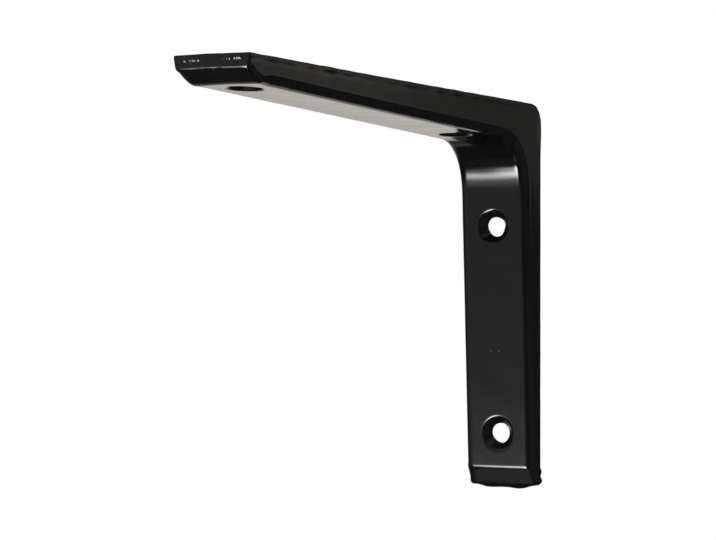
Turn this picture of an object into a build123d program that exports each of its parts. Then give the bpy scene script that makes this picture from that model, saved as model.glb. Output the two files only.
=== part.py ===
from build123d import *
from math import radians, sqrt, tan
import os

# Pressed steel shelf bracket: one sheet drawn into a shallow pan and bent into an L.
# +X runs out from the wall along the arm, +Z is up and Y lies across the width.
# The origin is on the wall plane, at mid-width, level with the middle of the wall screws.

# ---- Driving dimensions, in millimetres -------------------------------------------------

# Outline, measured from the corner where the wall plane meets the shelf plane
arm_length = 175.0
leg_length = 125.0
width = 25.0
sheet = 2.0

# Depth of the pan, from the mounting plane to the face of the web. It tapers to each end.
arm_corner_depth = 13.0
arm_tip_depth = 7.5
leg_corner_depth = 12.0
leg_foot_depth = 5.6

# Closed ends: a ramp leaves the web this far from the end and lands on a low nose wall
arm_ramp_length = 7.0
leg_ramp_length = 6.1
arm_nose_depth = 4.3
leg_nose_depth = 2.7

# Bends
throat_radius = 15.0             # web face, inside the L
corner_radius = 6.0              # flange edge, outside the L
flange_inside_radius = 1.0       # inside the pan, where the flanges leave the web
ramp_inside_radius = 3.0         # where a ramp leaves the web
nose_inside_radius = 0.5         # where a ramp lands on its nose
end_edge_radius = 1.2            # outside edges of the ramps and noses, struck sharp inside
rim_edge_radius = 0.3            # thick paint rounds the outer edge of the open side

# Screw holes, each at the bottom of a countersunk dimple pressed square to the web
hole_diameter = 6.5
countersink_diameter = 11.0
countersink_angle = 90.0
hole_land = 1.0                  # straight wall left below the countersink
countersink_lip = 1.0            # rounding of the countersink's mouth
dimple_root_radius = 0.8         # rounding round the dimple on the hidden side

# Screw places: from the shelf plane down the leg, and from the wall plane along the arm
wall_screw_top = 40.0
foot_screw_to_end = 17.5
shelf_screw_inner = 36.0
tip_screw_to_end = 17.5

# ---- Worked-out values ------------------------------------------------------------------

flange_radius = flange_inside_radius + sheet
ramp_radius = ramp_inside_radius + sheet
nose_radius = nose_inside_radius + sheet

wall_screw_bottom = leg_length - foot_screw_to_end
shelf_screw_outer = arm_length - tip_screw_to_end
shelf_z = (wall_screw_top + wall_screw_bottom) / 2

arm_taper = (arm_corner_depth - arm_tip_depth) / arm_length
leg_taper = (leg_corner_depth - leg_foot_depth) / leg_length

hole_radius = hole_diameter / 2
countersink_radius = countersink_diameter / 2
countersink_slope = tan(radians(countersink_angle / 2))     # radius gained per unit of height
countersink_depth = (countersink_radius - hole_radius) / countersink_slope
dimple_depth = countersink_depth + hole_land

# The dimple's hidden side runs parallel to the countersink, one sheet thickness away
dimple_end_radius = hole_radius + sheet * sqrt(1 + countersink_slope**2) - hole_land * countersink_slope
dimple_root_depth = sheet / 2
dimple_start_radius = dimple_end_radius + (dimple_depth - dimple_root_depth) * countersink_slope


def arm_depth(along):
    """Depth of the pan on the arm, this far from the wall plane."""
    return arm_corner_depth - arm_taper * along


def leg_depth(down):
    """Depth of the pan on the leg, this far below the shelf plane."""
    return leg_corner_depth - leg_taper * down


# The two web faces meet at this sharp point before the throat is rounded
throat_x = (leg_corner_depth - leg_taper * arm_corner_depth) / (1 - leg_taper * arm_taper)
throat_z = -arm_depth(throat_x)

# Web face in side view, from the arm's nose to the leg's, with a radius at each point
arm_ramp_start = arm_length - arm_ramp_length
leg_ramp_start = leg_length - leg_ramp_length
web_corners = [
    (arm_length, -arm_nose_depth),
    (arm_ramp_start, -arm_depth(arm_ramp_start)),
    (throat_x, throat_z),
    (leg_depth(leg_ramp_start), -leg_ramp_start),
    (leg_nose_depth, -leg_length),
]
web_radii = [nose_radius, ramp_radius, throat_radius, ramp_radius, nose_radius]

# The same web face run straight on past both ends
past_end = 2 * sheet
straight_corners = [
    (arm_length + past_end, -arm_depth(arm_length + past_end)),
    (throat_x, throat_z),
    (leg_depth(leg_length + past_end), -leg_length - past_end),
]
straight_radii = [0, throat_radius, 0]

# Side-view plane, with its own origin at the corner of the wall and shelf planes
side_plane = Plane(origin=(0, 0, shelf_z), x_dir=(1, 0, 0), z_dir=(0, -1, 0))

# Out of the corner into the room, away from both the wall and the shelf
to_room = Vector(1, 0, -1)

# Each screw's plane lies on the web face, centred on the hole, and faces the screwdriver
wall_screws = [
    Plane(origin=(leg_depth(down), 0, shelf_z - down), x_dir=(0, 1, 0), z_dir=(1, 0, -leg_taper))
    for down in (wall_screw_top, wall_screw_bottom)
]
shelf_screws = [
    Plane(origin=(along, 0, shelf_z - arm_depth(along)), x_dir=(0, 1, 0), z_dir=(arm_taper, 0, -1))
    for along in (shelf_screw_inner, shelf_screw_outer)
]

# ---- Shapes used by the bracket ---------------------------------------------------------


def side_block(corners, radii, edge_radius, inset, overrun):
    """Solid block as wide as the pan, with rounded edges along its web and ends.

    The web's corners and radii are given in side view. The block is this far inside the pan's
    outer faces, and its open side stands out past the wall and shelf planes by overrun less
    inset.
    """
    with BuildPart() as block:
        with BuildSketch(side_plane):
            with BuildLine():
                web = FilletPolyline(
                    (corners[0][0], overrun), *corners, (-overrun, corners[-1][1]), radius=radii
                )
                wall = Line(web @ 1, (-overrun, -corner_radius))
                corner = RadiusArc(wall @ 1, (corner_radius, overrun), corner_radius + overrun)
                Line(corner @ 1, web @ 0)
            make_face()
            if inset:
                offset(amount=-inset)
        extrude(amount=width / 2 - inset, both=True)

        if edge_radius > inset:
            room_faces = block.faces().filter_by(lambda face: face.normal_at().dot(to_room) > 0.1)
            across = room_faces.edges().group_by(Axis.Y)
            fillet(across[0] + across[-1], edge_radius - inset)
    return block.part


def pan_block(inset, overrun):
    """Solid block with the pan's shape, this far inside its outer faces.

    Two blocks share this shape. One has the flange bends and runs straight on past both ends.
    The other has the ramps and noses, whose edges are tighter than the flange bends.
    """
    with BuildPart() as block:
        add(side_block(straight_corners, straight_radii, flange_radius, inset, overrun))
        add(side_block(web_corners, web_radii, end_edge_radius, inset, overrun), mode=Mode.INTERSECT)
    return block.part


# ---- The bracket ------------------------------------------------------------------------

with BuildPart() as bracket:
    add(pan_block(inset=0, overrun=0))

    # Paint rounds the outer edge of the open side
    open_faces = bracket.faces().filter_by(lambda face: face.normal_at().dot(to_room) < -0.1)
    rim_edges = open_faces.edges().filter_by(
        lambda edge: sum(edge in face.edges() for face in open_faces) == 1
    )
    fillet(rim_edges, rim_edge_radius)

    # Hollow the block out to one thickness of sheet
    add(pan_block(inset=sheet, overrun=2 * sheet), mode=Mode.SUBTRACT)

    for screw in wall_screws + shelf_screws:
        # Hidden side of the dimple, a blunt cone that stands up from the pan's floor
        with Locations(screw.offset(-dimple_root_depth)):
            Cone(
                bottom_radius=dimple_end_radius,
                top_radius=dimple_start_radius,
                height=dimple_depth - dimple_root_depth,
                align=(Align.CENTER, Align.CENTER, Align.MAX),
            )
        dimple_root = bracket.edges(Select.LAST).filter_by(GeomType.CIRCLE).sort_by(SortBy.RADIUS)[-1]
        fillet(dimple_root, dimple_root_radius)

        with Locations(screw):
            CounterSinkHole(
                radius=hole_radius,
                counter_sink_radius=countersink_radius,
                depth=2 * dimple_depth,
                counter_sink_angle=countersink_angle,
            )
        mouth = bracket.edges(Select.LAST).filter_by(GeomType.CIRCLE).sort_by(SortBy.RADIUS)[-1]
        fillet(mouth, countersink_lip)

bracket.part.label = "bracket"
os.makedirs("parts", exist_ok=True)
export_step(bracket.part, "parts/bracket.step")
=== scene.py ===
import logging
import math
from collections.abc import Mapping, Sequence
from dataclasses import dataclass
from enum import Enum

import bmesh
import bpy
import numpy as np
from bpy.types import ID, Material, Mesh, Node, NodeSocket, NodeTree, Object, World
from mathutils import Matrix, Vector
from numpy.typing import NDArray


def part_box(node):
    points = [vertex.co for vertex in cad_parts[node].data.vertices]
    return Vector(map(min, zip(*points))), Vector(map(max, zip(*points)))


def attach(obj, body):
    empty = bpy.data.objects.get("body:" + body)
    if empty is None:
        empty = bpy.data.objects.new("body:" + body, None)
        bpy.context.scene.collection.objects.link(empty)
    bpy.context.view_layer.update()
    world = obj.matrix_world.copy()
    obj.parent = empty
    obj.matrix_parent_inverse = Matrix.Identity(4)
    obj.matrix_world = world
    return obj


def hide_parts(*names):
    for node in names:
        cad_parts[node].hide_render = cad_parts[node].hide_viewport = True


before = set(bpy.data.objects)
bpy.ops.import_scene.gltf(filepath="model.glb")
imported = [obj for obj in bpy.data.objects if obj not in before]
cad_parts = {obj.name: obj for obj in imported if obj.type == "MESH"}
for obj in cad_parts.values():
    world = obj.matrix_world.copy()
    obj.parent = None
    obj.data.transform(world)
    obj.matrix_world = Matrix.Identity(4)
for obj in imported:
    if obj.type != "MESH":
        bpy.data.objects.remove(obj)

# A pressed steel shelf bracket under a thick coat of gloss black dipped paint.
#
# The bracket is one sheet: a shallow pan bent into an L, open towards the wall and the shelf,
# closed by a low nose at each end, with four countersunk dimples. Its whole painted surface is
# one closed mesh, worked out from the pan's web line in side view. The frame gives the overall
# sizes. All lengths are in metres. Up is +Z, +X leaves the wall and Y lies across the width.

Array = NDArray[np.float64]
Indices = NDArray[np.int64]
Pair = tuple[float, float]
Triple = tuple[float, float, float]

MM = 0.001
NODE = "bracket"
BODY = "root"
WELD_REACH = 0.001 * MM     # grid points closer than this become one
NO_STEP = 1e-9              # a line's points closer than this are one point
NOISE_RANGE = (0.3, 0.7)    # most values of a noise texture lie in it
MATH = "ShaderNodeMath"
RANGE = "ShaderNodeMapRange"
S_CURVE = {"interpolation_type": "SMOOTHSTEP"}

log = logging.getLogger("shelf_bracket")


# ---- Lines and grids


@dataclass(frozen=True)
class Line:
    """A smooth line in a plane: its points, and at each the unit normal on its left."""

    points: Array
    normals: Array

    def lengths(self) -> Array:
        """Distance along the line to each point."""
        steps = np.linalg.norm(np.diff(self.points, axis=0), axis=1)
        return np.concatenate(([0.0], np.cumsum(steps)))

    def at(self, distance: Array) -> tuple[Array, Array]:
        """Points and unit normals at these distances, interpolated along the line.

        Args:
            distance: Distances from the line's start.

        Returns:
            The points and the normals there.
        """
        known = self.lengths()
        points, normals = (
            np.stack([np.interp(distance, known, column) for column in columns.T], axis=-1)
            for columns in (self.points, self.normals))
        return points, unit(normals)

    def nearest(self, place: Array) -> int:
        """Index of the line's point nearest to a place."""
        return int(np.argmin(np.linalg.norm(self.points - place, axis=1)))


def rounded_line(corners: Sequence[Pair], radii: Sequence[float],
                 steps: Sequence[float], turn: float) -> Line:
    """Straight runs joined by tangent arcs.

    An arc of radius r that turns the line by an angle a begins r * tan(a / 2) before its
    corner. Along it the heading turns evenly, and each point is the arc's centre less r times
    the normal on the inside of the turn.

    Args:
        corners: The line's ends and corners.
        radii: Arc radius at each corner between the ends, 0 where the line goes straight on.
        steps: Spacing of the points on each straight run.
        turn: Largest change of heading between two points of an arc, in radians.

    Returns:
        The line, with normals on the left of its direction.
    """
    corner = np.array(corners, float)
    run = np.diff(corner, axis=0)
    length = np.linalg.norm(run, axis=1)
    along = run / length[:, None]
    heading = np.unwrap(np.arctan2(along[:, 1], along[:, 0]))
    bend = np.diff(heading)
    cut = np.concatenate(([0.0], np.array(radii) * np.tan(np.abs(bend) / 2), [0.0]))

    points, headings = [], []
    for index, step in enumerate(steps):
        start = corner[index] + cut[index] * along[index]
        free = length[index] - cut[index] - cut[index + 1]
        count = max(1, round(free / step))
        points.append(start + np.linspace(0, free, count + 1)[:, None] * along[index])
        headings.append(np.full(count + 1, heading[index]))
        if index < len(bend) and radii[index] > 0:
            inner = np.linspace(0, 1, max(2, math.ceil(abs(bend[index]) / turn)) + 1)[1:-1]
            angle = heading[index] + inner * bend[index]
            side = np.sign(bend[index]) * radii[index]
            centre = points[-1][-1] + side * left_of(heading[index])
            points.append(centre - side * left_of(angle))
            headings.append(angle)
    point, angle = np.concatenate(points), np.concatenate(headings)
    fresh = np.concatenate(([True], np.linalg.norm(np.diff(point, axis=0), axis=1) > NO_STEP))
    return Line(point[fresh], left_of(angle[fresh]))


def left_of(heading: float | Array) -> Array:
    """Unit vector a quarter turn to the left of a heading, in radians."""
    return np.stack([-np.sin(heading), np.cos(heading)], axis=-1)


def unit(vectors: Array | Sequence[float]) -> Array:
    """The vectors at length 1."""
    return np.array(vectors) / np.linalg.norm(vectors, axis=-1, keepdims=True)


def cell_corners(grid: Array) -> Array:
    """The four corners of each cell of a grid, in order round the cell."""
    return np.stack([grid[:-1, :-1], grid[:-1, 1:], grid[1:, 1:], grid[1:, :-1]], axis=2)


def border(grid: Array) -> Array:
    """The border of a grid, once round from its first corner and down its first column."""
    return np.concatenate([grid[:-1, 0], grid[-1, :-1], grid[:0:-1, -1], grid[0, :0:-1]])


def grid_quads(rows: int, columns: int, closed: bool = False) -> Indices:
    """Quads of a grid whose vertices are numbered row by row.

    Args:
        rows: Number of rows of vertices.
        columns: Number of vertices in a row.
        closed: True where the last column joins the first.

    Returns:
        One row of four vertex numbers for each quad.
    """
    index = np.arange(rows * columns).reshape(rows, columns)
    if closed:
        index = np.concatenate([index, index[:, :1]], axis=1)
    return cell_corners(index).reshape(-1, 4)


def smooth_step(value: Array, low: float, high: float) -> Array:
    """0 below low, 1 above high, and an S-curve 3t^2 - 2t^3 between them."""
    share = np.clip((value - low) / (high - low), 0.0, 1.0)
    return share * share * (3 - 2 * share)


def bell(value: Array, middle: float, spread: float) -> Array:
    """Bell curve of height 1: e to the power of minus the squared distance over spread."""
    return np.exp(-((value - middle) / spread) ** 2)


# ---- The painted sheet


class Skin(Enum):
    """The two sides of the sheet, by how many sheet thicknesses each lies under the outer face."""

    OUTER = 0
    INNER = 1


@dataclass(frozen=True)
class PaintFilm:
    """How thickly the dipped paint lies: long waves, lumpy edges and runs at the foot.

    A wave is its height and its length. A bell has faded to about a third at its reach or spread.
    """

    wave_count: int = 9
    face_wave: Pair = (0.018 * MM, 15 * MM)
    edge_swell: float = 0.14 * MM
    edge_wave: Pair = (0.03 * MM, 8 * MM)
    edge_reach: float = 1.4 * MM
    leg_edge_share: float = 0.3
    arm_from: Pair = (-20 * MM, -8 * MM)  # z, where the leg's rim gives way to the arm's
    hole_wave: Pair = (0.14 * MM, 5 * MM)
    hole_reach: float = 0.8 * MM
    nose_wave: Pair = (0.012 * MM, 3.2 * MM)
    nose_from: Pair = (1.2 * MM, 0.4 * MM)  # back from the arm's end

    # Drip line under the foot, from -Y to +Y, with tears given by y and extra drop
    drip_drop: float = 0.85 * MM
    drip_start: Pair = (-10.5 * MM, -6.5 * MM)
    drip_end: Pair = (6.5 * MM, 11.5 * MM)
    drip_reach: float = 1.1 * MM
    drip_across: Pair = (0.8 * MM, 1.5 * MM)  # middle and spread in x
    drip_tears: tuple[Pair, ...] = ((-5.0 * MM, 0.15 * MM), (4.8 * MM, 0.35 * MM))
    tear_spread: float = 2.6 * MM

    # Beads on the back edge of the foot, given by height over its end and by size
    beads: tuple[Pair, ...] = ((1.6 * MM, 1.1 * MM), (4.5 * MM, 0.8 * MM))
    bead_lean: Pair = (-0.75, 0.4)
    bead_reach: float = 0.9 * MM
    bead_inset: float = 0.6 * MM
    bead_spread: float = 1.3 * MM

    def waves(self, points: Array, wave: Pair, seed: int) -> Array:
        """A smooth random height, mostly less than one and a half times the one asked for.

        It is a sum of sine waves. Each runs in its own direction, is 0.6 to 1.6 times as long
        as asked and starts at its own phase.

        Args:
            points: Places, one per row.
            wave: Height and middle wave length.
            seed: Seed of the directions and phases.

        Returns:
            One height for each place, up or down.
        """
        draw = np.random.default_rng(seed)
        direction = unit(draw.normal(size=(self.wave_count, 3)))
        lengths = wave[1] * draw.uniform(0.6, 1.6, self.wave_count)
        phase = draw.uniform(0, math.tau, self.wave_count)
        angle = points @ (math.tau * direction / lengths[:, None]).T + phase
        return wave[0] * np.sin(angle).sum(axis=1) / math.sqrt(self.wave_count)


@dataclass
class Bracket:
    """The pressed bracket. Depths are measured from the wall or the shelf plane to the web.

    Until the paint is laid, points are in side view with y in the middle: x is measured from
    the wall plane and z from the shelf plane.
    """

    sheet: float = 2.0 * MM
    arm_corner_depth: float = 13.0 * MM
    arm_tip_depth: float = 7.5 * MM
    leg_corner_depth: float = 12.0 * MM
    leg_foot_depth: float = 5.6 * MM
    arm_ramp_length: float = 7.0 * MM
    leg_ramp_length: float = 5.9 * MM
    arm_nose_depth: float = 4.15 * MM
    leg_nose_depth: float = 2.7 * MM
    throat_radius: float = 15.0 * MM
    throat_ease: float = 5.0 * MM
    corner_radius: float = 6.0 * MM
    flange_radius: float = 3.0 * MM
    nose_radius: float = 1.6 * MM
    arm_ramp_radius: float = 5.0 * MM
    leg_ramp_radius: float = 3.1 * MM
    rim_radius: float = 0.25 * MM

    # Edges of the ramps and noses: distance along the web from the open side, and bend radius
    tip_edges: tuple[Pair, ...] = (
        (1.0 * MM, 0.4 * MM), (2.5 * MM, 0.9 * MM), (5.0 * MM, 1.9 * MM), (8.0 * MM, 1.6 * MM),
        (9.5 * MM, 1.7 * MM), (16.0 * MM, 3.0 * MM))
    foot_edges: tuple[Pair, ...] = (
        (1.0 * MM, 1.2 * MM), (3.0 * MM, 1.5 * MM), (5.0 * MM, 2.3 * MM), (8.0 * MM, 2.4 * MM),
        (10.5 * MM, 3.0 * MM))

    wall_screw_top: float = 40.0 * MM
    foot_screw_to_end: float = 17.5 * MM
    shelf_screw_inner: float = 36.0 * MM
    tip_screw_to_end: float = 17.5 * MM
    hole_radius: float = 3.25 * MM
    countersink_radius: float = 5.5 * MM
    hole_land: float = 1.0 * MM
    mouth_radius: float = 1.6 * MM
    press_shifts: tuple[float, ...] = (-0.5 * MM, 0.0, 0.2 * MM, 0.5 * MM)
    hole_edge_radius: float = 0.25 * MM
    dimple_edge_radius: float = 0.35 * MM
    dimple_root_radius: float = 0.8 * MM

    # Spacing of the mesh, which has a square patch round each screw
    patch_half: float = 8.0 * MM
    patch_margin: float = 0.9 * MM
    patch_rings: int = 3
    grid: float = 1.0 * MM
    fine_grid: float = 0.45 * MM
    edge_grid: float = 0.5 * MM
    web_turn: float = math.radians(5)
    bend_turn: float = math.radians(7.5)
    rim_turn: float = math.radians(2)

    # Specks of dust under the paint: distance down the leg, and y
    leg_nibs: tuple[Pair, ...] = ((80.4 * MM, -1.9 * MM), (80.4 * MM, 1.0 * MM))

    # Sag of the arm's +Y side: height, share of the arm it grows over, and the y it starts from
    arm_sag: float = 0.38 * MM
    sag_share: float = 0.65
    sag_from: float = -4.0 * MM

    paint: PaintFilm = PaintFilm()

    def __post_init__(self) -> None:
        """Takes the overall sizes from the frame."""
        low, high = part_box(NODE)
        self.arm_length = float(high[0])
        self.leg_length = float(high[2] - low[2])
        self.half_width = float(high[1] - low[1]) / 2
        self.shelf_z = float(high[2])
        self.arm_taper = (self.arm_corner_depth - self.arm_tip_depth) / self.arm_length
        self.leg_taper = (self.leg_corner_depth - self.leg_foot_depth) / self.leg_length
        self.patch_sides = round(2 * self.patch_half / self.grid)

    # -- Side view: x from the wall plane, and z from the shelf plane

    def arm_web(self, along: float) -> Pair:
        """Point of the arm's web face this far from the wall plane, in side view."""
        return along, -(self.arm_corner_depth - self.arm_taper * along)

    def leg_web(self, down: float) -> Pair:
        """Point of the leg's web face this far below the shelf plane, in side view."""
        return self.leg_corner_depth - self.leg_taper * down, -down

    def nibs(self) -> list[Triple]:
        """Centre of each speck of dust under the paint, in the frame."""
        places = [(*self.leg_web(down), y) for down, y in self.leg_nibs]
        return [(x, y, z + self.shelf_z) for x, z, y in places]

    def screws(self) -> list[tuple[Array, Array]]:
        """Places the screw holes, from the arm's tip to the leg's foot.

        Returns:
            Centre and direction along the web of each hole, in side view.
        """
        arm, leg = unit([-1.0, -self.arm_taper]), unit([-self.leg_taper, -1.0])
        places = [(self.arm_web(self.arm_length - self.tip_screw_to_end), arm),
                  (self.arm_web(self.shelf_screw_inner), arm),
                  (self.leg_web(self.wall_screw_top), leg),
                  (self.leg_web(self.leg_length - self.foot_screw_to_end), leg)]
        return [(np.array(centre), along) for centre, along in places]

    def throat(self) -> tuple[Array, Array, Array]:
        """Where the two web faces cross, and where the throat's arc leaves each of them.

        An arc of radius r that turns by an angle a leaves each face r * tan(a / 2) from the
        crossing.

        Returns:
            The crossing, the arc's end on the arm and its end on the leg, in side view.
        """
        crossing = self.leg_corner_depth - self.leg_taper * self.arm_corner_depth
        corner = np.array(self.arm_web(crossing / (1 - self.leg_taper * self.arm_taper)))
        on_arm, on_leg = unit([1.0, self.arm_taper]), unit([-self.leg_taper, -1.0])
        cut = self.throat_radius * math.tan((math.pi - math.acos(float(on_arm @ on_leg))) / 2)
        return corner, corner + cut * on_arm, corner + cut * on_leg

    def web_line(self) -> Line:
        """The web face in side view, from the arm's nose to the leg's.

        Each screw's patch begins and ends at a point of the line.

        Returns:
            The line, whose left side is the room side.
        """
        patches = [(tuple(centre + side * self.patch_half * along), 0, self.grid)
                   for centre, along in self.screws() for side in (-1, 1)]
        arm_bend = self.arm_web(self.arm_length - self.arm_ramp_length)
        leg_bend = self.leg_web(self.leg_length - self.leg_ramp_length)
        stops = [
            ((self.arm_length, -self.rim_radius), None, self.fine_grid),
            ((self.arm_length, -self.arm_nose_depth), self.nose_radius, self.fine_grid),
            (arm_bend, self.arm_ramp_radius, self.fine_grid),
            *patches[:4],
            (tuple(self.throat()[0]), self.throat_radius, self.grid),
            *patches[4:7],
            (patches[7][0], 0, self.fine_grid),
            (leg_bend, self.leg_ramp_radius, self.fine_grid),
            ((self.leg_nose_depth, -self.leg_length), self.nose_radius, self.fine_grid),
            ((self.rim_radius, -self.leg_length), None, None),
        ]
        corners, radii, steps = zip(*stops)
        line = rounded_line(corners, radii[1:-1], steps[:-1], self.web_turn)
        return self.ease_throat(line)

    def ease_throat(self, line: Line) -> Line:
        """Lets the throat's bend fade out into the straight webs, as a pressed bend does.

        Near the throat each point moves to the mean of the line within a short reach of it.

        Args:
            line: The web line, with a plain arc in the throat.

        Returns:
            The eased line.
        """
        lengths = line.lengths()
        _, arm_end, leg_end = self.throat()
        near = [lengths[line.nearest(place)] for place in (arm_end, leg_end)]
        eased = (lengths > near[0] - 2 * self.throat_ease) & (lengths < near[1] + 2 * self.throat_ease)
        reach = np.linspace(-self.throat_ease, self.throat_ease, 15)
        points, normals = line.at((lengths[eased, None] + reach).ravel())
        shape = (int(eased.sum()), len(reach), 2)
        line.points[eased] = points.reshape(shape).mean(axis=1)
        line.normals[eased] = unit(normals.reshape(shape).mean(axis=1))
        return line

    def rim_line(self, start: Array, end: Array) -> Line:
        """The flanges' edge in side view, just short of its rounding, on the open side.

        Args:
            start: Where it starts at the arm's nose.
            end: Where it ends at the leg's nose.

        Returns:
            The line, which turns the outer corner on an arc.
        """
        inset = self.rim_radius
        corners = [(start[0], -inset), (inset, -inset), (inset, end[1])]
        return rounded_line(corners, [self.corner_radius - inset], [self.edge_grid] * 2, self.rim_turn)

    # -- Cross-section: depth under the web face, y, and how far the normal leans to the side

    def edge_radii(self, web: Line) -> Array:
        """Radius of the bend between web and flange at each station.

        It is the flange bend's along the arm and the leg, and gets less towards each end by
        the distance along the web line from there.

        Args:
            web: The web line.

        Returns:
            One radius for each station.
        """
        lengths = web.lengths()
        radius = np.full(len(lengths), self.flange_radius)
        for distance, edges in ((lengths, self.tip_edges), (lengths[-1] - lengths, self.foot_edges)):
            radius = np.minimum(radius, np.interp(distance, *zip(*edges)))
        return radius

    def section(self, radius: Array) -> tuple[Array, Array, Array]:
        """Quarter-round bends and the flat web between them, from +Y to -Y.

        On a bend of radius r the normal leans by an angle a from the web's, the depth is
        r * (1 - cos a), and y is r * sin a outside the flat.

        Args:
            radius: Bend radius of each station.

        Returns:
            Depth under the web face and y of each column at each station, and each column's
            lean angle.
        """
        lean = np.linspace(math.pi / 2, 0, round(math.pi / 2 / self.bend_turn) + 1)
        patch = np.linspace(self.patch_half, -self.patch_half, self.patch_sides + 1)
        flat_half = self.half_width - radius[:, None]
        between = flat_half + 0.5 * (self.patch_half - flat_half)
        side = flat_half + radius[:, None] * np.sin(lean)
        inner = np.broadcast_to(patch, (len(radius), len(patch)))
        y = np.concatenate([side, between, inner, -between, -side[:, ::-1]], axis=1)
        leans = np.concatenate([lean, np.zeros(len(patch) + 2), -lean[::-1]])
        depth = radius[:, None] * (1 - np.cos(leans))
        return depth, y, leans

    # -- Surfaces, as grids of points

    def pan(self) -> tuple[Array, Array]:
        """The pan's outer face, from rim to rim, as a grid of stations by columns.

        The section is carried along the web line, and the flanges are ruled from the ends of
        the bends to the rim line.

        Returns:
            Points and unit normals, each of shape (stations, columns, 3).
        """
        web = self.web_line()
        depth, y, lean = self.section(self.edge_radii(web))
        carried = web.points[:, None, :] - depth[..., None] * web.normals[:, None, :]
        points = np.stack([carried[..., 0], y, carried[..., 1]], axis=-1)
        normals = np.stack([
            np.cos(lean) * web.normals[:, None, 0],
            np.broadcast_to(np.sin(lean), carried.shape[:2]),
            np.cos(lean) * web.normals[:, None, 1],
        ], axis=-1)

        rim = self.rim_points(web, carried[:, 0])
        # Eight even steps up the flange, and one close to the bend that keeps its shading flat
        share = np.append(np.linspace(0, 1, 9)[:-1], 0.96)[:, None]
        flange = rim[:, None, :] * (1 - share) + carried[:, :1] * share
        side = np.full(flange.shape[:2], self.half_width)
        left = np.stack([flange[..., 0], side, flange[..., 1]], axis=-1)
        right = left[:, ::-1] * (1, -1, 1)
        out = np.zeros_like(left)
        out[..., 1] = 1
        return (np.concatenate([left, points, right], axis=1),
                np.concatenate([out, normals, -out], axis=1))

    def rim_points(self, web: Line, bend_end: Array) -> Array:
        """Where each station's flange meets the rim line.

        A few stations have a fixed place: straight up from the web on the arm, and straight
        towards the wall on the leg. Between two of them the rim is shared out evenly by the
        length of the web line.

        Args:
            web: The web line.
            bend_end: End of the flange bend at each station, in side view.

        Returns:
            One point in side view for each station.
        """
        line = self.rim_line(bend_end[0], bend_end[-1])
        total = line.lengths()[-1]
        tip, foot = bend_end[0, 0], bend_end[-1, 1]
        screws = self.screws()
        tip_patch = screws[0][0] - self.patch_half * screws[0][1]
        foot_patch = screws[-1][0] + self.patch_half * screws[-1][1]
        _, arm_end, leg_end = self.throat()
        fixed = [web.nearest(place) for place in (tip_patch, arm_end, leg_end, foot_patch)]
        marks = [tip - tip_patch[0], tip - arm_end[0],
                 total - leg_end[1] + foot, total - foot_patch[1] + foot]
        lengths = web.lengths()
        known = lengths[[0, *fixed, -1]]
        return line.at(np.interp(lengths, known, [0, *marks, total]))[0]

    def rim_band(self, points: Array, normals: Array) -> Array:
        """The rounded edge of the sheet all round the open side.

        Across the edge the profile is a quarter circle up, a flat and a quarter circle down.

        Args:
            points: The pan's outer face.
            normals: Its normals.

        Returns:
            Points of shape (round the rim, across the edge, 3).
        """
        base, outward = border(points), border(normals)
        up = self.open_direction(base)
        quarter = np.linspace(0, math.pi / 2, 5)
        radius = self.rim_radius
        flat = np.linspace(radius, self.sheet - radius, 4)[1:-1]
        inward = np.concatenate([radius * (1 - np.cos(quarter)), flat,
                                 self.sheet - radius * (1 - np.cos(quarter[::-1]))])
        rise = radius * np.concatenate([np.sin(quarter), np.ones(len(flat)), np.sin(quarter[::-1])])
        return base[:, None] - inward[:, None] * outward[:, None] + rise[:, None] * up[:, None]

    def open_direction(self, points: Array) -> Array:
        """Unit vector out of the open side: up on the arm, to the wall on the leg.

        Round the outer corner it points away from the corner arc's centre.

        Args:
            points: Points on or near the rim.

        Returns:
            One unit vector for each point.
        """
        x = np.minimum(points[:, 0] - self.corner_radius, 0)
        z = np.maximum(points[:, 2] + self.corner_radius, 0)
        return unit(np.stack([x, np.zeros_like(x), z], axis=1))

    def dimple(self, centre: Array, along: Array, shift: float) -> Array:
        """One countersunk dimple, from its square patch on the outer face to the inner one.

        Rings run from the square to a circle, then down the countersink, through the hole and
        back up the hidden side. A ring between square and circle is a share of each.

        Args:
            centre: Centre of the hole on the web face, in side view.
            along: Unit direction along the web, in side view.
            shift: How far along the web it was pressed off its mark.

        Returns:
            Points of shape (rings, round the hole, 3).
        """
        deep = self.countersink_radius - self.hole_radius
        floor = deep + self.hole_land
        wide = self.hole_radius + self.sheet * math.sqrt(2) - self.hole_land
        start = self.patch_half - self.patch_margin
        profile = rounded_line(
            [(start, 0), (self.countersink_radius, 0), (self.hole_radius, -deep),
             (self.hole_radius, -floor), (wide, -floor),
             (wide + floor - self.sheet, -self.sheet), (start, -self.sheet)],
            [self.mouth_radius, self.hole_edge_radius, self.dimple_edge_radius,
             self.dimple_edge_radius, self.dimple_root_radius],
            [self.edge_grid] * 6, self.bend_turn).points

        sides = self.patch_sides
        count = np.arange(4 * sides)
        angle = math.pi / 4 + math.tau * count / (4 * sides)
        circle = np.stack([np.cos(angle), np.sin(angle)], axis=1)
        corner = np.array([(1, 1), (-1, 1), (-1, -1), (1, -1)], float)
        share = (count % sides / sides)[:, None]
        side = count // sides
        square = self.patch_half * (corner[side] * (1 - share) + corner[(side + 1) % 4] * share)
        step = np.linspace(0, 1, self.patch_rings, endpoint=False)
        blend = step[:, None, None]
        flat = square * (1 - blend) + start * circle * blend
        rings = np.concatenate([flat, profile[:, :1, None] * circle, flat[::-1]])
        height = np.concatenate([0 * step, profile[:, 1], 0 * step - self.sheet])

        moved = shift * np.concatenate([step, np.ones(len(profile)), step[::-1]])[:, None, None]
        out = np.array([-along[1], along[0]])
        side_view = centre + (rings[..., :1] + moved) * along + height[:, None, None] * out
        return np.stack([side_view[..., 0], rings[..., 1], side_view[..., 1]], axis=-1)

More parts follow.
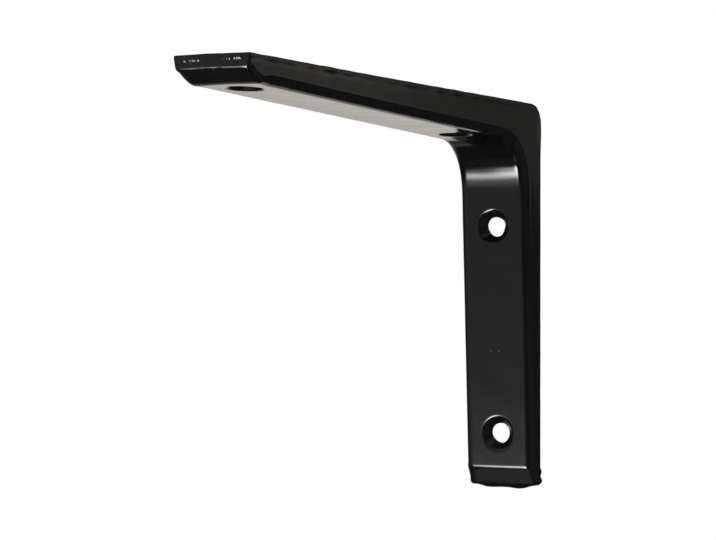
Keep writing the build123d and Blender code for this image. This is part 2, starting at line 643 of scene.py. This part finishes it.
    def build_mesh(self) -> Mesh:
        """Joins the pan's two faces, the rim and the dimples into one closed, painted mesh.

        Returns:
            The mesh, in its place in the frame.
        """
        points, normals = self.pan()
        stations, columns = points.shape[:2]
        keep = self.outside_dimples(points)
        pan_quads = grid_quads(stations, columns)[keep]
        parts = [(points - skin.value * self.sheet * normals, pan_quads) for skin in Skin]
        band = self.rim_band(points, normals)
        parts.append((band.transpose(1, 0, 2), grid_quads(band.shape[1], band.shape[0], closed=True)))
        for (centre, along), shift in zip(self.screws(), self.press_shifts):
            rings = self.dimple(centre, along, shift)
            parts.append((rings, grid_quads(*rings.shape[:2], closed=True)))

        start, vertices, quads = 0, [], []
        for grid, faces in parts:
            vertices.append(grid.reshape(-1, 3))
            quads.append(faces + start)
            start += grid.shape[0] * grid.shape[1]
        mesh = bpy.data.meshes.new("painted_bracket")
        mesh.from_pydata(np.concatenate(vertices), [], np.concatenate(quads).tolist())
        weld(mesh)
        self.lay_paint(mesh)
        return mesh

    def outside_dimples(self, points: Array) -> NDArray[np.bool_]:
        """Marks the pan's quads that lie outside every screw's square patch.

        Args:
            points: The pan's outer face.

        Returns:
            True or False for each quad, row by row.
        """
        middle = cell_corners(points).mean(axis=2).reshape(-1, 3)
        keep = np.ones(len(middle), bool)
        for centre, along in self.screws():
            offset = np.abs((middle[:, ::2] - centre) @ along)
            near = np.linalg.norm(middle[:, ::2] - centre, axis=1) < 2 * self.patch_half
            keep &= ~((offset < self.patch_half) & near & (np.abs(middle[:, 1]) < self.patch_half))
        return keep

    def near_holes(self, points: Array) -> Array:
        """1 on the edge of a screw hole, fading to 0 within about two millimetres.

        It is a bell of the distance from the hole's edge, taken square to the hole's axis.

        Args:
            points: Points of the surface.

        Returns:
            One value for each point.
        """
        near = np.zeros(len(points))
        for (centre, along), shift in zip(self.screws(), self.press_shifts):
            offset = points[:, ::2] - centre - shift * along
            across = np.hypot(offset @ along, points[:, 1])
            close = np.linalg.norm(offset, axis=1) < self.patch_half
            near += close * bell(across, self.hole_radius, self.paint.hole_reach)
        return near

    def film(self, points: Array) -> Array:
        """Height of the film: waves, stronger at the rim, the holes and the nose, and a swollen rim.

        Args:
            points: Points of the surface.

        Returns:
            One height for each point.
        """
        paint = self.paint
        arc = np.stack([np.maximum(self.corner_radius - points[:, 0], 0),
                        np.maximum(points[:, 2] + self.corner_radius, 0)], axis=1)
        in_corner = arc.min(axis=1) > 0
        straight = np.minimum(points[:, 0], -points[:, 2])
        inside = np.where(in_corner, self.corner_radius - np.linalg.norm(arc, axis=1), straight)
        at_edge = bell(inside, 0.0, paint.edge_reach)
        on_arm = smooth_step(points[:, 2], *paint.arm_from)
        edge_share = paint.leg_edge_share + (1 - paint.leg_edge_share) * on_arm
        at_nose = smooth_step(points[:, 0], *(self.arm_length - back for back in paint.nose_from))
        height = paint.waves(points, paint.face_wave, 3) + paint.edge_swell * at_edge * on_arm
        for where, wave, seed in ((at_edge * edge_share, paint.edge_wave, 5),
                                  (self.near_holes(points), paint.hole_wave, 4),
                                  (at_nose, paint.nose_wave, 8)):
            height += where * paint.waves(points, wave, seed)
        return height

    def runs(self, points: Array) -> Array:
        """How far the drip, the beads and the arm's sag carry each point.

        The drip hangs from the foot and the beads stand out of its back edge, all as bells.
        The arm's +Y side sags a little towards the tip, as on a used bracket.

        Args:
            points: Points of the surface.

        Returns:
            One move in x, y and z for each point.
        """
        paint = self.paint
        x, y, height = points[:, 0], points[:, 1], points[:, 2] + self.leg_length
        drop = paint.drip_drop * (smooth_step(y, *paint.drip_start) - smooth_step(y, *paint.drip_end))
        drop += sum(size * bell(y, middle, paint.tear_spread) for middle, size in paint.drip_tears)
        drop *= bell(height, 0.0, paint.drip_reach) * bell(x, *paint.drip_across)
        rise = sum(size * bell(height, middle, paint.bead_reach) for middle, size in paint.beads)
        rise = rise * bell(y, self.half_width - paint.bead_inset, paint.bead_spread)
        rise *= bell(np.maximum(x, 0), 0.0, paint.bead_reach)
        sag = self.arm_sag * smooth_step(x / self.arm_length, 0.0, self.sag_share)
        sag *= smooth_step(y, self.sag_from, self.half_width)
        return np.stack([*(lean * rise for lean in paint.bead_lean), -drop - sag], axis=1)

    def lay_paint(self, mesh: Mesh) -> None:
        """Lays the uneven paint on the mesh and moves it into the frame.

        Each vertex moves along its normal by the film's height, and with the runs.

        Args:
            mesh: The welded mesh.
        """
        count = len(mesh.vertices)
        points, normals = np.empty(3 * count), np.empty(3 * count)
        mesh.vertices.foreach_get("co", points)
        mesh.vertices.foreach_get("normal", normals)
        points, normals = points.reshape(-1, 3), normals.reshape(-1, 3)
        moved = points + self.film(points)[:, None] * normals + self.runs(points)
        moved[:, 2] += self.shelf_z
        mesh.vertices.foreach_set("co", moved.ravel())
        mesh.update()


def weld(mesh: Mesh) -> None:
    """Merges the seams between grids, turns the faces outwards and shades them smooth.

    Args:
        mesh: A mesh of grids whose borders meet.
    """
    work = bmesh.new()
    work.from_mesh(mesh)
    bmesh.ops.remove_doubles(work, verts=work.verts, dist=WELD_REACH)
    bmesh.ops.dissolve_degenerate(work, edges=work.edges, dist=WELD_REACH / 2)
    bmesh.ops.recalc_face_normals(work, faces=work.faces)
    open_edges = sum(not edge.is_manifold for edge in work.edges)
    work.to_mesh(mesh)
    work.free()
    mesh.shade_smooth()
    log.info("welded %s, with %d open edges", mesh.name, open_edges)


# ---- Finishes


def linear(colour: str) -> tuple[float, float, float, float]:
    """An sRGB hex colour as linear red, green, blue and alpha."""
    parts = [int(colour[index:index + 2], 16) / 255 for index in (1, 3, 5)]
    return *(part / 12.92 if part <= 0.04045 else ((part + 0.055) / 1.055) ** 2.4 for part in parts), 1.0


def add_node(tree: NodeTree, kind: str, inputs: Mapping[str | int, object] | None = None,
             **settings: object) -> Node:
    """Adds a shader node.

    Args:
        tree: The tree that gets the node.
        kind: The node's type name.
        inputs: Values of its sockets, or sockets of other nodes to link to them.
        settings: Properties of the node.

    Returns:
        The new node.
    """
    node = tree.nodes.new(kind)
    for name, value in settings.items():
        setattr(node, name, value)
    for name, value in (inputs or {}).items():
        if isinstance(value, NodeSocket):
            tree.links.new(value, node.inputs[name])
        else:
            node.inputs[name].default_value = value
    return node


def add_object(data: ID) -> Object:
    """Puts a new object in the scene, named for its data.

    Args:
        data: Its mesh, camera or lamp.

    Returns:
        The object.
    """
    thing = bpy.data.objects.new(data.name, data)
    bpy.context.scene.collection.objects.link(thing)
    return thing


def empty_tree(owner: Material | World) -> NodeTree:
    """Turns on a material's or world's nodes and clears them.

    Args:
        owner: The material or world.

    Returns:
        Its node tree, with no nodes.
    """
    owner.use_nodes = True
    owner.node_tree.nodes.clear()
    return owner.node_tree


@dataclass(frozen=True)
class DippedEnamel:
    """Gloss black alkyd enamel, dipped and left to drain.

    The eye gets near black with sharp reflections, slightly broken by orange peel.
    """

    name: str = "gloss_black_enamel"
    colour: str = "#121213"
    ior: float = 1.5
    roughness: Pair = (0.08, 0.11)
    peel_size: float = 3.0 * MM
    peel_height: float = 0.006 * MM
    cloud_size: float = 9 * MM

    # Ridge across the arm's nose: depth under the shelf plane, size, and lumps along y
    ridge_depth: float = 1.35 * MM
    ridge_height: float = 0.23 * MM
    ridge_spread: float = 0.8 * MM
    ridge_lump: float = 1.9 * MM
    lump_levels: Pair = (0.32, 0.56)
    thickest_y: float = 7.0 * MM
    thick_reach: Pair = (2.2 * MM, 3.8 * MM)
    thin_share: float = 0.2
    nose_reach: Pair = (0.6 * MM, 0.3 * MM)

    # Specks of dust under the paint
    nib_height: float = 0.045 * MM
    nib_radius: float = 0.8 * MM

    def build(self, nose: Pair, nibs: Sequence[Triple]) -> Material:
        """Makes the material.

        Args:
            nose: x and z of the top of the arm's nose.
            nibs: Centres of the specks of dust under the paint.

        Returns:
            The material.
        """
        material = bpy.data.materials.new(self.name)
        tree = empty_tree(material)
        place = add_node(tree, "ShaderNodeTexCoord").outputs["Object"]
        cloud = add_node(tree, "ShaderNodeTexNoise", {
            "Vector": place, "Scale": 1 / self.cloud_size, "Detail": 3.0})
        rough = add_node(tree, RANGE, {
            "Value": cloud.outputs["Fac"], "From Min": NOISE_RANGE[0], "From Max": NOISE_RANGE[1],
            "To Min": self.roughness[0], "To Max": self.roughness[1]})
        peel = add_node(tree, "ShaderNodeTexNoise", {
            "Vector": place, "Scale": 1 / self.peel_size, "Detail": 1.0})
        normal: dict[str, NodeSocket] = {}
        for height, distance in ((peel.outputs["Fac"], self.peel_height),
                                 (self.ridge(tree, place, nose), self.ridge_height),
                                 (self.specks(tree, place, nibs), self.nib_height)):
            bump = add_node(tree, "ShaderNodeBump", {
                "Height": height, "Strength": 1.0, "Distance": distance, **normal})
            normal = {"Normal": bump.outputs["Normal"]}
        shader = add_node(tree, "ShaderNodeBsdfPrincipled", {
            "Base Color": linear(self.colour), "IOR": self.ior,
            "Roughness": rough.outputs["Result"], **normal})
        add_node(tree, "ShaderNodeOutputMaterial", {"Surface": shader.outputs["BSDF"]})
        return material

    def ridge(self, tree: NodeTree, place: NodeSocket, nose: Pair) -> NodeSocket:
        """Height of the lumpy ridge of paint across the nose, between 0 and 1.

        It is a dome in z, times lumps along y that are thickest halfway out to each side,
        and 0 away from the nose.

        Args:
            tree: The material's tree.
            place: Socket of the object coordinates.
            nose: x and z of the top of the arm's nose.

        Returns:
            The height's socket.
        """
        x, y, z = add_node(tree, "ShaderNodeSeparateXYZ", {0: place}).outputs
        off = add_node(tree, MATH, {0: z, 1: nose[1] - self.ridge_depth}, operation="SUBTRACT")
        off = add_node(tree, MATH, {0: off.outputs[0]}, operation="ABSOLUTE")
        dome = add_node(tree, RANGE, {
            "Value": off.outputs[0], "From Min": 0.0, "From Max": self.ridge_spread,
            "To Min": 1.0, "To Max": 0.0}, **S_CURVE)
        noise = add_node(tree, "ShaderNodeTexNoise", {
            "W": y, "Scale": 1 / self.ridge_lump, "Detail": 1.0}, noise_dimensions="1D")
        lumps = add_node(tree, RANGE, {
            "Value": noise.outputs["Fac"],
            "From Min": self.lump_levels[0], "From Max": self.lump_levels[1]}, **S_CURVE)
        across = add_node(tree, MATH, {0: y}, operation="ABSOLUTE")
        across = add_node(tree, MATH, {0: across.outputs[0], 1: self.thickest_y}, operation="SUBTRACT")
        across = add_node(tree, MATH, {0: across.outputs[0]}, operation="ABSOLUTE")
        thick = add_node(tree, RANGE, {
            "Value": across.outputs[0], "From Min": self.thick_reach[0],
            "From Max": self.thick_reach[1], "To Min": 1.0, "To Max": self.thin_share}, **S_CURVE)
        there = add_node(tree, RANGE, {
            "Value": x, "From Min": nose[0] - self.nose_reach[0],
            "From Max": nose[0] - self.nose_reach[1]})
        height = lumps.outputs[0]
        for factor in (thick, dome, there):
            height = add_node(
                tree, MATH, {0: height, 1: factor.outputs[0]}, operation="MULTIPLY").outputs[0]
        return height

    def specks(self, tree: NodeTree, place: NodeSocket,
               centres: Sequence[Triple]) -> NodeSocket | float:
        """Height of the specks under the paint: 1 at each centre and 0 from its radius out.

        Args:
            tree: The material's tree.
            place: Socket of the object coordinates.
            centres: Centres of the specks.

        Returns:
            The height's socket, or 0 where there are no specks.
        """
        top: NodeSocket | float = 0.0
        for centre in centres:
            away = add_node(tree, "ShaderNodeVectorMath", {0: place, 1: centre}, operation="DISTANCE")
            dome = add_node(tree, RANGE, {
                "Value": away.outputs["Value"], "From Min": 0.0, "From Max": self.nib_radius,
                "To Min": 1.0, "To Max": 0.0}, **S_CURVE)
            top = add_node(tree, MATH, {0: dome.outputs[0], 1: top}, operation="MAXIMUM").outputs[0]
        return top


# ---- Studio


WARM, OLIVE, COOL = "#fffaf3", "#fffaeb", "#fbfaff"


def direction(azimuth: float, elevation: float) -> Array:
    """Unit vector at an azimuth from +X and an elevation, both in degrees."""
    turn, rise = math.radians(azimuth), math.radians(elevation)
    return np.array([math.cos(rise) * math.cos(turn), math.cos(rise) * math.sin(turn), math.sin(rise)])


@dataclass(frozen=True)
class Panel:
    """A softly lit part of the studio tent, by azimuth from +X and elevation, in degrees.

    A level of 1 is white. Its edges fade over its softness to each side, in degrees.
    """

    level: float
    azimuth: Pair
    elevation: Pair
    soft: Pair = (3.0, 3.0)
    tint: str = "#ffffff"

    def glow(self, azimuth: Array, elevation: Array) -> Array:
        """The panel's red, green and blue in each direction: S-curves up and down, multiplied.

        Args:
            azimuth: Azimuths in degrees.
            elevation: Elevations in degrees.

        Returns:
            Three values for each direction.
        """
        glow = np.full(azimuth.shape, float(self.level))
        ranges = (self.azimuth, self.elevation)
        for value, (low, high), soft in zip((azimuth, elevation), ranges, self.soft):
            glow *= smooth_step(value, low - soft, low + soft)
            glow *= 1 - smooth_step(value, high - soft, high + soft)
        return glow[..., None] * linear(self.tint)[:3]


@dataclass
class Studio:
    """Camera, lamp, pale floor, white surroundings and the dark tent that the gloss mirrors."""

    azimuth: float = 30.78
    elevation: float = -1.787
    distance: float = 0.75058
    roll: float = 0.17
    aim_offset: Triple = (8.80 * MM, -0.15 * MM, 5.72 * MM)
    lens: float = 126.35
    lamp_from: Pair = (40.0, 70.0)
    lamp_distance: float = 1.6
    lamp_side: float = 1.2
    lamp_power: float = 8.0
    world_level: float = 0.6
    floor_drop: float = 0.30
    floor_half: float = 30.0
    floor_fade: Pair = (0.8, 2.5)
    floor_white: float = 0.8
    tent_radius: float = 2.5
    tent_depth: float = 0.34
    tent_seam: float = -110.0
    tent_level: float = 0.025
    tent_panels: tuple[Panel, ...] = (
        Panel(0.785, (183, 240), (-18, 12), (3, 3), WARM),  # back wall
        Panel(0.5, (184, 209), (-35, -18), (2.5, 3), WARM),
        Panel(0.3, (214, 260), (-40, -10), (4, 4), WARM),
        Panel(0.1, (120, 176), (4.15, 60), (3, 0.35), OLIVE),  # side wall
        Panel(0.15, (136, 149.4), (3.8, 60), (0.8, 1.2), OLIVE),
        Panel(0.16, (136, 149.4), (2.9, 6.6), (0.8, 1), OLIVE),
        Panel(0.2, (120, 162), (16, 60), (4, 6), OLIVE),
        Panel(0.07, (45, 135), (-60, 0), (15, 8)),
        Panel(0.3, (-70, 5), (-14, 60), (25, 6)),  # front wall
        Panel(0.04, (-72, -32), (-14, 60), (3, 6)),
        Panel(0.25, (5, 62), (32, 62), (12, 10), OLIVE),
        Panel(17.0, (-35.5, -14), (-43, -21), (4.5, 6), COOL),  # long softbox, low in front
        Panel(11.0, (-39.5, -20), (-45, -36), (3, 3.5), COOL),
        Panel(3.0, (-33, -14), (-44, -13), (8, 7.5)),
        Panel(0.07, (-72, -35), (-62, -45), (4, 6)),
        Panel(0.32, (-74, 30), (-95, -59.3), (4, 1.2), COOL),
    )

    def build(self) -> None:
        """Puts the whole studio in the scene."""
        low, high = (np.array(corner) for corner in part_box(NODE))
        self.centre = (low + high) / 2
        self.floor_z = float(low[2]) - self.floor_drop
        self.add_camera()
        self.add_world()
        self.add_floor()
        self.add_tent()
        self.add_lamp()
        bpy.context.scene.view_settings.view_transform = "Standard"

    def add_camera(self) -> None:
        """Long lens, level with the bracket and in front of it to its +Y side."""
        away = direction(self.azimuth, self.elevation)
        aim = self.centre + np.array(self.aim_offset)
        data = bpy.data.cameras.new("camera")
        data.lens = self.lens
        data.sensor_width = 36.0
        data.clip_start = 0.01
        data.clip_end = 200.0
        camera = add_object(data)
        look = Vector(-away).to_track_quat("-Z", "Y").to_matrix().to_4x4()
        place = Matrix.Translation(Vector(aim + self.distance * away))
        camera.matrix_world = place @ look @ Matrix.Rotation(math.radians(self.roll), 4, "Z")
        bpy.context.scene.camera = camera

    def seen_directly(self, tree: NodeTree) -> NodeSocket:
        """1 for camera, glossy and transmission rays, and 0 for the rest.

        Args:
            tree: The tree that gets the nodes.

        Returns:
            The value's socket.
        """
        path = add_node(tree, "ShaderNodeLightPath").outputs
        seen = path["Is Camera Ray"]
        for ray in ("Is Glossy Ray", "Is Transmission Ray"):
            seen = add_node(tree, MATH, {0: seen, 1: path[ray]}, operation="MAXIMUM").outputs[0]
        return seen

    def add_world(self) -> None:
        """White where it is seen or mirrored, and soft light for matt surfaces."""
        world = bpy.data.worlds.new("studio")
        tree = empty_tree(world)
        strength = add_node(tree, RANGE, {
            "Value": self.seen_directly(tree), "To Min": self.world_level, "To Max": 1.0})
        light = add_node(tree, "ShaderNodeBackground", {
            "Color": linear("#ffffff"), "Strength": strength.outputs["Result"]})
        add_node(tree, "ShaderNodeOutputWorld", {"Surface": light.outputs["Background"]})
        bpy.context.scene.world = world

    def add_floor(self) -> None:
        """Pale floor below the bracket, which keeps a soft shadow."""
        half, height = self.floor_half, self.floor_z
        square = ((-half, -half), (half, -half), (half, half), (-half, half))
        mesh = bpy.data.meshes.new("floor")
        mesh.from_pydata([(x, y, height) for x, y in square], [], [(0, 1, 2, 3)])
        material = bpy.data.materials.new("pale_floor")
        tree = empty_tree(material)
        place = add_node(tree, "ShaderNodeTexCoord").outputs["Object"]
        distance = add_node(tree, "ShaderNodeVectorMath", {0: place}, operation="LENGTH")
        fade = add_node(tree, RANGE, {
            "Value": distance.outputs["Value"], "From Min": self.floor_fade[0],
            "From Max": self.floor_fade[1], "To Min": self.floor_white, "To Max": 1.0})
        share = add_node(tree, MATH, {
            0: self.seen_directly(tree), 1: fade.outputs["Result"]}, operation="MULTIPLY")
        matt = add_node(tree, "ShaderNodeBsdfDiffuse", {"Color": linear("#f4f4f4")})
        white = add_node(tree, "ShaderNodeEmission", {"Color": linear("#ffffff"), "Strength": 1.0})
        mix = add_node(tree, "ShaderNodeMixShader", {
            0: share.outputs[0], 1: matt.outputs[0], 2: white.outputs[0]})
        add_node(tree, "ShaderNodeOutputMaterial", {"Surface": mix.outputs[0]})
        self.place(mesh, material)

    def place(self, mesh: Mesh, material: Material) -> Object:
        """Puts a mesh in the scene with its material.

        Args:
            mesh: The mesh, whose name the object gets.
            material: Its material.

        Returns:
            The object.
        """
        thing = add_object(mesh)
        mesh.materials.append(material)
        return thing

    def add_tent(self) -> None:
        """Dark tent with lit panels, which only reflections see.

        It is a ball round the bracket, cut flat below: a grid of azimuth and elevation, with
        the radius or the depth over the sine of the angle down, whichever is less. Its light
        at each vertex is the cloth's own plus what the panels add there. A panel that reaches
        past the seam, where azimuths start and end, is cut off there.
        """
        azimuth = np.radians(np.linspace(self.tent_seam, self.tent_seam + 360, 241))
        elevation = np.radians(np.linspace(-90, 90, 361))
        turn, rise = np.meshgrid(azimuth, elevation, indexing="ij")
        down = np.maximum(-np.sin(rise), 0.01)  # kept above 0, because the depth is divided by it
        reach = np.minimum(self.tent_radius, self.tent_depth / down)
        points = reach[..., None] * np.stack(
            [np.cos(rise) * np.cos(turn), np.cos(rise) * np.sin(turn), np.sin(rise)], axis=-1)
        mesh = bpy.data.meshes.new("tent")
        mesh.from_pydata((points + self.centre).reshape(-1, 3), [], grid_quads(*turn.shape).tolist())
        light = np.ones((*turn.shape, 4))
        light[..., :3] = self.tent_level + sum(
            panel.glow(np.degrees(turn), np.degrees(rise)) for panel in self.tent_panels)
        mesh.attributes.new("light", "FLOAT_COLOR", "POINT").data.foreach_set(
            "color", light.ravel().astype(np.float32))
        material = bpy.data.materials.new("tent_cloth")
        tree = empty_tree(material)
        lit = add_node(tree, "ShaderNodeAttribute", attribute_name="light")
        glow = add_node(tree, "ShaderNodeEmission", {"Color": lit.outputs["Color"]})
        add_node(tree, "ShaderNodeOutputMaterial", {"Surface": glow.outputs[0]})
        tent = self.place(mesh, material)
        for rays in ("camera", "diffuse", "shadow", "transmission", "volume_scatter"):
            setattr(tent, "visible_" + rays, False)

    def add_lamp(self) -> None:
        """A broad soft light from above, which reflections do not see."""
        data = bpy.data.lights.new("top_light", "AREA")
        data.shape = "RECTANGLE"
        data.size = data.size_y = self.lamp_side
        data.energy = self.lamp_power
        lamp = add_object(data)
        away = direction(*self.lamp_from)
        turn = Vector(-away).to_track_quat("-Z", "Y").to_matrix().to_4x4()
        lamp.matrix_world = Matrix.Translation(Vector(self.centre + self.lamp_distance * away)) @ turn
        lamp.visible_camera = False
        lamp.visible_glossy = False


# ---- Putting it together


def show_bracket() -> Object:
    """Builds the painted bracket in place of the plain CAD node.

    Returns:
        The bracket's object.
    """
    bracket = Bracket()
    mesh = bracket.build_mesh()
    mesh.materials.append(DippedEnamel().build((bracket.arm_length, bracket.shelf_z), bracket.nibs()))
    piece = add_object(mesh)
    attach(piece, BODY)
    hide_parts(NODE)
    return piece


def main() -> None:
    """Builds the bracket and the studio."""
    logging.basicConfig(level=logging.INFO, format="%(name)s: %(message)s")
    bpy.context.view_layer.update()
    piece = show_bracket()
    log.info("%s: %d faces", piece.name, len(piece.data.polygons))
    Studio().build()


if __name__ == "__main__":
    main()
